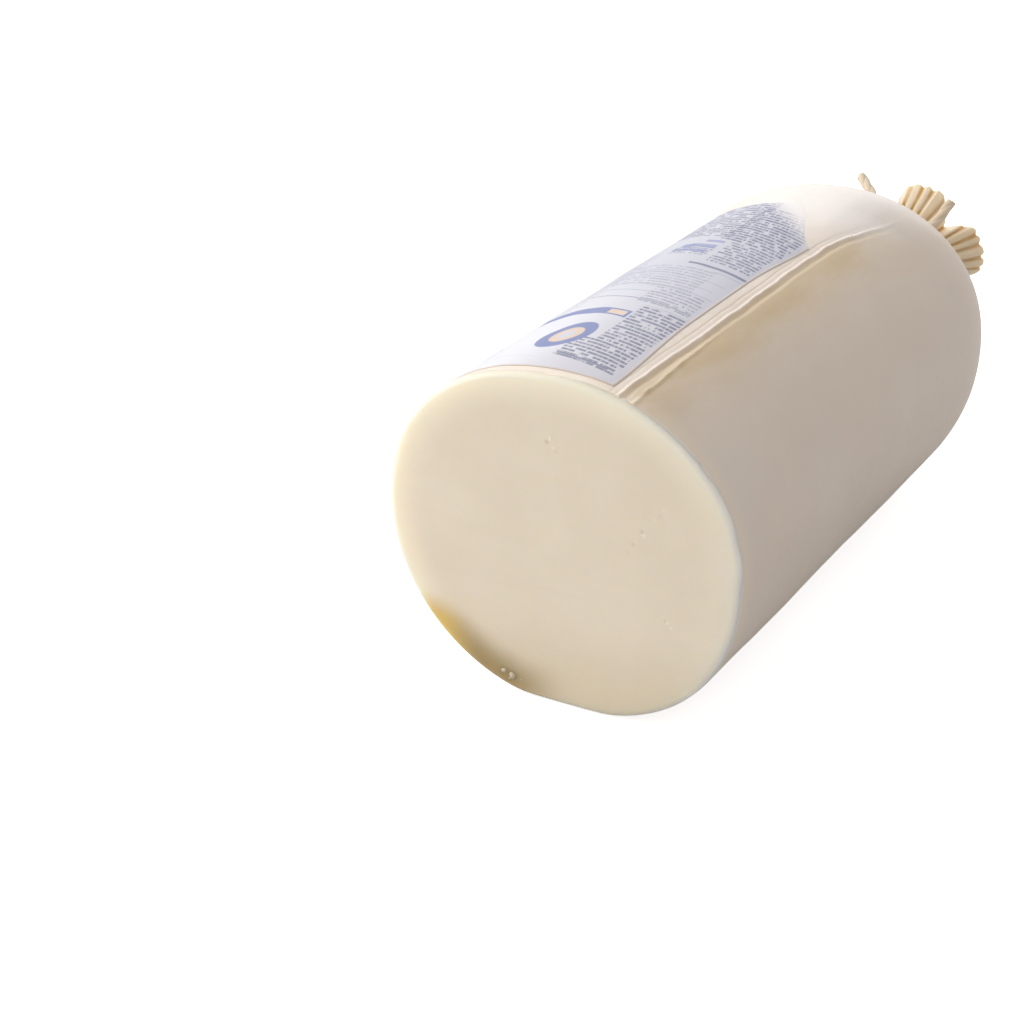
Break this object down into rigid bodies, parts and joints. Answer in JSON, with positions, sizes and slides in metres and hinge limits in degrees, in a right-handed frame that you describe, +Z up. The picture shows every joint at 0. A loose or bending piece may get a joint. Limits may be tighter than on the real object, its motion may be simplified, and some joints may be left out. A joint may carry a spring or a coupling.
{
  "type": "provolone cheese",
  "caption": "Log of provolone cheese, cut flat at one end and rounded at the other, in a film casing gathered and tied with cord at the far end, with a label along its top.",
  "frame": {"origin": "middle of the part's box in plan, on the plane that its underside rests on", "axes": "+Y along the log from the cut face to the tied end, +Z up, +X to the right when looking at the cut face"},
  "size_m": [0.15, 0.3472, 0.138],
  "materials": {
    "cheese_paste": "satin, pale cream paste with faint pits and smears, soft glow near its rim",
    "film_casing": "thin satin film, tight over the cheese, pleated where it is gathered",
    "printed_label": "pale lavender white sheet under a gloss film, with plain blue and grey print",
    "cotton_cord": "soft twisted cotton"
  },
  "bodies": {
    "root": {"cheese": "cheese_paste", "casing": "film_casing", "label": "printed_label", "tie_cord": "cotton_cord"}
  },
  "joints": []
}
